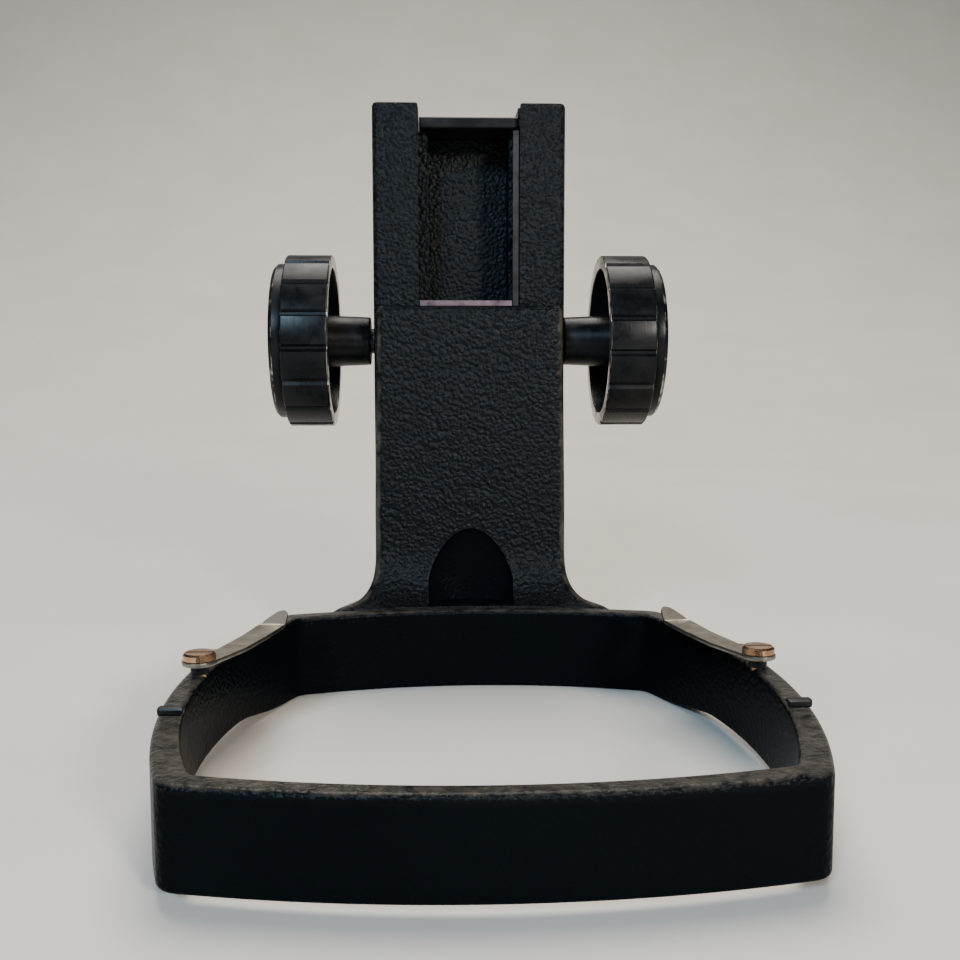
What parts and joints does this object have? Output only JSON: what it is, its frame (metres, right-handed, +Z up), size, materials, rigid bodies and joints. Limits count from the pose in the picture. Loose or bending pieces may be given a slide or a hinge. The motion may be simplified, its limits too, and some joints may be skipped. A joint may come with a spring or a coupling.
{
  "type": "stereo microscope focusing mount",
  "caption": "Rack-and-pinion focusing mount for a stereo microscope: a channel housing with a sliding yoke whose wide ring and spring clips hold the microscope head.",
  "frame": {"origin": "middle of the underside of the whole mount's box, with the housing's foot on the floor", "axes": "+Z up along the focusing slide, +Y from the ring towards the housing's back, +X to the right seen from the ring's front"},
  "size_m": [0.1252, 0.1848, 0.1549],
  "materials": {
    "wrinkle_paint": "black wrinkle stove enamel, fine hammered texture, satin",
    "black_metal": "smooth black enamel on turned metal, semi-gloss",
    "machined_metal": "milled, dark with grease",
    "brass": "turned, tarnished",
    "nickel": "nickel-plated spring steel, worn",
    "steel": "turned"
  },
  "bodies": {
    "housing": {"focus_housing": "wrinkle_paint", "top_stop_plate": "black_metal", "stop_plate_screw_1": "steel", "stop_plate_screw_2": "steel", "dovetail_gib": "machined_metal", "gib_screw_1": "steel", "gib_screw_2": "steel", "gib_screw_3": "steel", "shaft_bush_left": "brass", "shaft_bush_right": "brass"},
    "yoke": {"yoke_casting": "wrinkle_paint", "dovetail_slide": "machined_metal", "slide_screw_1": "steel", "slide_screw_2": "steel", "slide_screw_3": "steel", "slide_screw_4": "steel", "focus_rack": "brass", "rack_screw_1": "steel", "rack_screw_2": "steel", "rack_screw_3": "steel", "rim_lug_left": "black_metal", "rim_lug_right": "black_metal", "clip_post_left": "black_metal", "clip_post_right": "black_metal", "clip_screw_left": "brass", "clip_screw_right": "brass"},
    "drive": {"pinion_shaft": "black_metal", "pinion_gear": "brass", "knob_left": "black_metal", "knob_right": "black_metal", "knob_cap_left": "black_metal", "knob_cap_right": "black_metal", "knob_set_screw_left": "steel", "knob_set_screw_right": "steel", "tension_washer": "steel"},
    "left_clip": {"clip_left": "nickel"},
    "right_clip": {"clip_right": "nickel"}
  },
  "joints": [
    {"name": "focus_slide", "type": "slide", "parent": "housing", "child": "yoke", "axis": [0, 0, 1], "range_m": [-0.007, 0.046]},
    {"name": "pinion_spin", "type": "hinge", "parent": "housing", "child": "drive", "pos_m": [0, 0.0661, 0.0916], "axis": [1, 0, 0], "range_deg": [-549.5, 84]},
    {"name": "left_clip_swivel", "type": "hinge", "parent": "yoke", "child": "left_clip", "pos_m": [-0.0589, -0.0234, 0.0205], "axis": [0, 0, 1], "range_deg": [-20, 110]},
    {"name": "right_clip_swivel", "type": "hinge", "parent": "yoke", "child": "right_clip", "pos_m": [0.0589, -0.0234, 0.0205], "axis": [0, 0, 1], "range_deg": [-110, 20]}
  ],
  "couplings": [
    {"joint": "pinion_spin", "follows": "focus_slide", "rad_per_m": -208.33}
  ]
}
